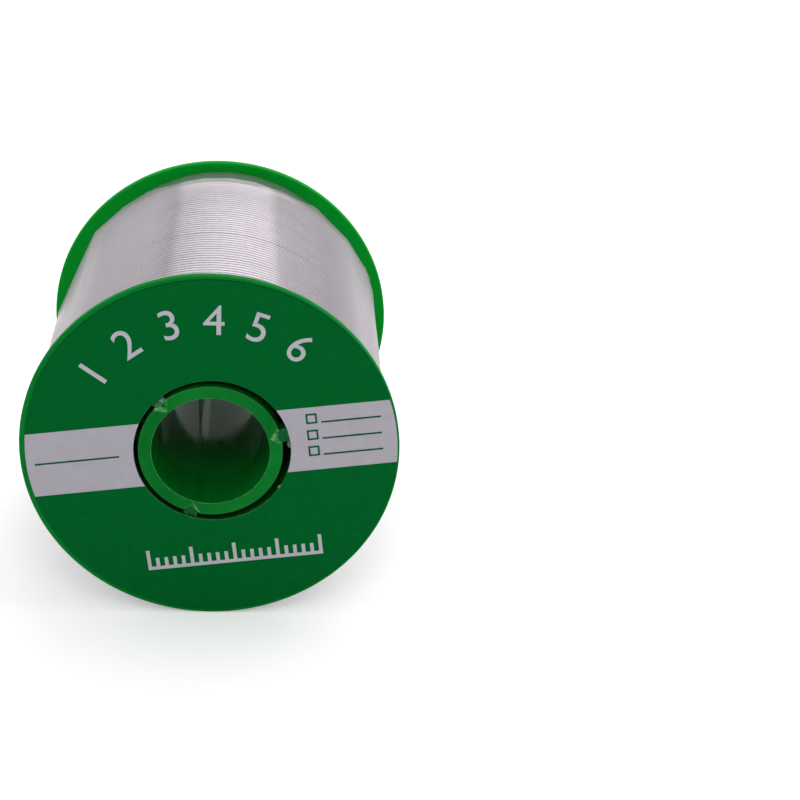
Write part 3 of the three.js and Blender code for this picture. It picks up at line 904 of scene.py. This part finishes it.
class Print:
    """Ink on a label: flat shapes in the label's plane, x to the right and z up, seen from its own end."""

    def __init__(self):
        self.verts = []
        self.faces = []

    def add(self, points, faces, centre, turn):
        """Adds points (x, z, depth) about a centre, turned by an angle."""
        c, s = math.cos(math.radians(turn)), math.sin(math.radians(turn))
        first = len(self.verts)
        for x, z, depth in points:
            self.verts.append((centre[0] + x * c - z * s, depth, centre[1] + x * s + z * c))
        self.faces += [tuple(first + v for v in face) for face in faces]

    def plate(self, outlines, centre, turn, offset=(0, 0)):
        """A flat shape of ink in the first outline. A second outline, of as many points, is a hole in it."""
        n = len(outlines[0])
        points = [(p[0] + offset[0], p[1] + offset[1], d) for d in (0, -PRINT_THICKNESS)
                  for outline in outlines for p in outline]
        level = n * len(outlines)
        faces = []
        for o in range(len(outlines)):
            faces += ring_faces(o * n, level + o * n, n)
        if len(outlines) == 1:
            faces += [tuple(range(n)), tuple(range(n, 2 * n))]
        else:
            for first in (0, level):
                faces += ring_faces(first, first + n, n)
        self.add(points, faces, centre, turn)

    def bar(self, centre, length, width, turn, offset=(0, 0)):
        """A bar with its corners rounded."""
        a, b, r = length / 2, width / 2, min(length, width) * 0.25
        self.plate([rounded([(-a, -b, r), (a, -b, r), (a, b, r), (-a, b, r)], 3)], centre, turn, offset)

    def square(self, centre, size, stroke, turn, offset):
        """An open square. size is to the middle of its stroke."""
        outlines = []
        for half in ((size + stroke) / 2, (size - stroke) / 2):
            outlines.append(rounded([(-half, -half, stroke / 5), (half, -half, stroke / 5),
                                     (half, half, stroke / 5), (-half, half, stroke / 5)], 2))
        self.plate(outlines, centre, turn, offset)

    def scale(self, centre, length, parts, stroke, tall, short, long_every, turn):
        """A ruler's scale in one outline: a base line with a tick at each part."""
        low, base = -tall / 2, -tall / 2 + stroke
        left = -(length + stroke) / 2
        outline = [(left, low), (left + length + stroke, low)]
        for i in range(parts, -1, -1):
            x = left + length * i / parts
            top = low + (short if i % long_every else tall)
            if i < parts:
                outline.append((x + stroke, base))
            outline += [(x + stroke, top), (x, top)]
            if i > 0:
                outline.append((x, base))
        self.plate([outline], centre, turn)

    def digit(self, text, centre, turn):
        """A digit in Blender's own plain font, of the digits' height."""
        curve = bpy.data.curves.new("digit", "FONT")
        curve.body = text
        curve.size = DIGIT_HEIGHT * FONT_SIZE_PER_HEIGHT
        curve.extrude = PRINT_THICKNESS / 2
        obj = bpy.data.objects.new("digit", curve)
        bpy.context.scene.collection.objects.link(obj)
        graph = bpy.context.evaluated_depsgraph_get()
        mesh = bpy.data.meshes.new_from_object(obj.evaluated_get(graph), depsgraph=graph)
        bpy.data.objects.remove(obj)
        xs = [v.co.x for v in mesh.vertices]
        ys = [v.co.y for v in mesh.vertices]
        middle = ((max(xs) + min(xs)) / 2, (max(ys) + min(ys)) / 2)
        size = DIGIT_HEIGHT / (max(ys) - min(ys))
        points = [((v.co.x - middle[0]) * size, (v.co.y - middle[1]) * size, -v.co.z - PRINT_THICKNESS / 2)
                  for v in mesh.vertices]
        self.add(points, [tuple(f.vertices) for f in mesh.polygons], centre, turn)
        bpy.data.meshes.remove(mesh)

    def finish(self, name, material, face, out, shift):
        """Lays the ink on a label's face, which looks along out * Y, and rides it on the reel."""
        middle = Vector((shift[0], face, shift[1] + AXIS_HEIGHT))
        verts = [middle + Vector((-out * x, -out * y, z)) for x, y, z in self.verts]
        return place(new_object(name, verts, self.faces, (material,), PRINT_SHARP), "label_paper")


def make_print(prefix, face, out, shift):
    """Plain digits round the top, a plain scale below, and ruled lines on the band."""
    white = Print()
    for number, angle in enumerate(DIGIT_ANGLES, 1):
        a = math.radians(angle)
        white.digit(str(number), (DIGIT_RADIUS * math.cos(a), DIGIT_RADIUS * math.sin(a)), angle - 90)
    white.scale(SCALE_CENTRE, SCALE_LENGTH, SCALE_PARTS, SCALE_STROKE, SCALE_LONG, SCALE_SHORT,
                SCALE_LONG_EVERY, BAND_ANGLE)
    white.finish(prefix + "_white_ink", INK_WHITE, face, out, shift)
    green = Print()
    green.bar(LEFT_RULE, LEFT_RULE_LENGTH, RULE_STROKE, BAND_ANGLE)
    for row in ROWS:
        green.bar(row, ROW_LENGTH, RULE_STROKE, BAND_ANGLE, (TICK_BOX, 0))
        green.square(row, TICK_BOX, RULE_STROKE, BAND_ANGLE, (-ROW_LENGTH / 2, TICK_BOX / 2))
    green.finish(prefix + "_green_ink", INK_GREEN, face, out, shift)


# Solder wire

def coil(name, radius, wire_radius, mesh, handed, gaps):
    """One layer of turns from flange to flange, as one tube. mesh is the number of points round a turn and
    round the wire, and gaps lists (turn, width) where turns stand apart."""
    steps, sides = mesh
    reach = HALF_WIDTH - wire_radius - WIRE_END_GAP
    count = int(TURNS * steps)
    drift = [rng.uniform(-1, 1) for _ in range(int(TURNS) + 3)]
    spare = sum(width for _, width in gaps)
    pitch = (2 * reach - spare) / TURNS
    verts = []
    for i in range(count + 1):
        t = i / steps
        y = -reach + pitch * t
        for turn, width in gaps:
            y += width * min(max(t - turn, 0), 1)
        k = int(t)
        y += WIRE_WANDER * (drift[k] + (drift[k + 1] - drift[k]) * (t - k))
        y = min(max(y, -reach), reach)
        a = math.radians(START_ANGLE + handed * 360 * t)
        out = Vector((math.cos(a), 0, math.sin(a)))
        centre = out * radius + Vector((0, y, AXIS_HEIGHT))
        for s in range(sides):
            b = 2 * math.pi * s / sides
            along = Vector((0, wire_radius * math.sin(b), 0))
            verts.append(centre + out * wire_radius * math.cos(b) + along)
    faces = [tuple(range(sides)), tuple(range(count * sides, (count + 1) * sides))]
    for i in range(count):
        faces += ring_faces(i * sides, (i + 1) * sides, sides)
    return new_object(name, verts, faces, (SOLDER,), WIRE_SHARP)


def make_wire():
    """The layer that is seen, and the one under it, which runs back the other way."""
    middle = WINDING_RADIUS - WIRE_RADIUS
    outer = coil("solder_wire_turns", middle, WIRE_RADIUS, OUTER_MESH, 1, TURN_GAPS)
    place(outer, "solder", "solder_wire_outer_layer")
    under = coil("solder_wire_under_layer", middle - LAYER_STEP, UNDER_WIRE_RADIUS, UNDER_MESH, -1, ())
    place(under, "solder", "solder_wire_core")


# Film

def film_corners():
    """The creases where neighbouring panels meet, as (x, z, fillet radius) about the axis."""
    corners = []
    for i, (angle_a, height_a, *crease) in enumerate(FILM_PANELS):
        angle_b, height_b = FILM_PANELS[(i + 1) % len(FILM_PANELS)][:2]
        a, b = math.radians(angle_a), math.radians(angle_b)
        far_a = WINDING_RADIUS + height_a * MM + FILM_THICKNESS
        far_b = WINDING_RADIUS + height_b * MM + FILM_THICKNESS
        turn = math.sin(b - a)
        x = (far_a * math.sin(b) - far_b * math.sin(a)) / turn
        z = (far_b * math.cos(a) - far_a * math.cos(b)) / turn
        corners.append((x, z, (crease[0] if crease else FILM_CREASE_RADIUS) * MM))
    return corners


def spread(points, most):
    """The same closed outline with no two points further apart than `most`."""
    filled = []
    for i, point in enumerate(points):
        after = points[(i + 1) % len(points)]
        parts = max(1, math.ceil((after - point).length / most))
        filled += [point.lerp(after, k / parts) for k in range(parts)]
    return filled


def film_lift(angle, y):
    """How far the film stands out from its panels: curled at both ends, a little wavy, and pleated."""
    edge = max(abs(y) - (FILM_END - FILM_CURL_WIDTH), 0) / FILM_CURL_WIDTH
    lift = FILM_CURL * edge * edge
    a = math.radians(angle)
    lift += FILM_WAVE * sum(share * math.sin(count * a + y / length) for count, length, share in FILM_WAVES)
    for middle, width, height, start in PLEATS:
        off = (angle - middle) / width
        share = min(max((y - start) / (FILM_END - start), 0), 1)
        lift += height * share * math.exp(-off * off)
    return max(lift, 0)


def make_film():
    """A sleeve of film, in rows that stand closer towards both ends."""
    outer = spread(rounded(film_corners(), FILM_CREASE_STEPS), FILM_STEP)
    inner = [p - p.normalized() * FILM_THICKNESS for p in outer]
    n = len(outer)
    verts = []
    for ring in (outer, inner):
        for r in range(FILM_ROWS + 1):
            y = -FILM_END * math.cos(math.pi * r / FILM_ROWS)
            for p in ring:
                angle = math.degrees(math.atan2(p.y, p.x)) % 360
                q = p * (1 + film_lift(angle, y) / p.length)
                verts.append(Vector((q.x, y, AXIS_HEIGHT + q.y)))
    half = (FILM_ROWS + 1) * n
    faces = []
    for r in range(FILM_ROWS):
        faces += ring_faces(r * n, (r + 1) * n, n)
    faces += [tuple(reversed([v + half for v in f])) for f in faces]
    for r in (0, FILM_ROWS):
        faces += ring_faces(r * n, half + r * n, n)
    film = new_object("film", verts, faces, (FILM_OUTER, FILM_INNER), FILM_SHARP)
    inside = 1
    for polygon in film.data.polygons:
        centre = polygon.center - Vector((0, polygon.center.y, AXIS_HEIGHT))
        if polygon.normal.dot(centre) < 0:
            polygon.material_index = inside
    return place(film, "clear_film", "film_wrap")


# Stage

def make_floor():
    """A plain pale floor, lifted a little where it is seen as a background."""
    corners = [(x * FLOOR_HALF, y * FLOOR_HALF, 0) for x, y in ((-1, -1), (1, -1), (1, 1), (-1, 1))]
    mesh = bpy.data.meshes.new("floor")
    mesh.from_pydata(corners, [], [(0, 1, 2, 3)])
    floor = bpy.data.objects.new("floor", mesh)
    bpy.context.scene.collection.objects.link(floor)
    finish = Finish("floor", Roughness=0.9, Specular_IOR_Level=0.0)
    finish.set(finish.shader, {"Base Color": FLOOR_COLOUR, "Emission Color": WHITE})
    path = finish.node("LightPath")
    seen = finish.math("MAXIMUM", path.outputs["Is Camera Ray"], path.outputs["Is Glossy Ray"])
    seen = finish.math("MAXIMUM", seen, path.outputs["Is Transmission Ray"])
    finish.link(finish.math("MULTIPLY", seen, FLOOR_LIFT), finish.shader.inputs["Emission Strength"])
    mesh.materials.append(finish.material)


def make_studio():
    """An even studio all round, dimmer on the camera's side."""
    world = bpy.data.worlds.new("studio")
    bpy.context.scene.world = world
    world.use_nodes = True
    tree = world.node_tree
    background = tree.nodes["Background"]
    background.inputs["Color"].default_value = WHITE
    way = tree.nodes.new("ShaderNodeTexCoord")
    split = tree.nodes.new("ShaderNodeSeparateXYZ")
    tree.links.new(way.outputs["Generated"], split.inputs["Vector"])
    total = tree.nodes.new("ShaderNodeMath")
    total.operation = "ADD"
    (front, dim), (middle, level), (rear, bright) = STUDIO
    ramps = ((front, middle, dim, level), (middle, rear, 0, bright - level))
    for socket, values in zip(total.inputs, ramps):
        ramp = tree.nodes.new("ShaderNodeMapRange")
        ramp.interpolation_type = "SMOOTHSTEP"
        for name, value in zip(("From Min", "From Max", "To Min", "To Max"), values):
            ramp.inputs[name].default_value = value
        tree.links.new(split.outputs["Y"], ramp.inputs["Value"])
        tree.links.new(ramp.outputs["Result"], socket)
    tree.links.new(total.outputs[0], background.inputs["Strength"])


def make_softboxes():
    """A large softbox over the reel and a small one in front, both turned to the reel's middle."""
    middle = Vector((0, 0, AXIS_HEIGHT))
    for name, place_at, size, radiance in SOFTBOXES:
        lamp = bpy.data.lights.new(name, "AREA")
        lamp.shape = "RECTANGLE"
        lamp.size, lamp.size_y = size
        lamp.energy = radiance * math.pi * lamp.size * lamp.size_y
        obj = bpy.data.objects.new(name, lamp)
        bpy.context.scene.collection.objects.link(obj)
        obj.location = place_at
        obj.rotation_euler = (middle - Vector(place_at)).to_track_quat("-Z", "Y").to_euler()


def make_camera():
    data = bpy.data.cameras.new("camera")
    data.lens = CAMERA_LENS
    data.sensor_width = SENSOR_WIDTH
    data.clip_start, data.clip_end = CAMERA_CLIP
    camera = bpy.data.objects.new("camera", data)
    bpy.context.scene.collection.objects.link(camera)
    camera.location = Vector((0, -HALF_LENGTH, AXIS_HEIGHT)) + CAMERA_FROM_FRONT_CENTRE
    camera.rotation_euler = [math.radians(a) for a in CAMERA_TURN]
    bpy.context.scene.camera = camera


make_camera()
make_reel_body()
make_front_flange()
FACE = HALF_LENGTH + LABEL_THICKNESS - PRINT_THICKNESS
make_label("front_label_paper", "front_label", -FACE, -1, LABEL_SHIFT)
make_print("front_label", -FACE, -1, LABEL_SHIFT)
make_flaps("front_label_frayed_edge", -FACE)
make_label("rear_label_paper", "rear_label", FACE, 1, (0, 0))
make_print("rear_label", FACE, 1, (0, 0))
make_wire()
make_film()
make_floor()
make_studio()
make_softboxes()
bpy.context.scene.view_settings.view_transform = "Standard"
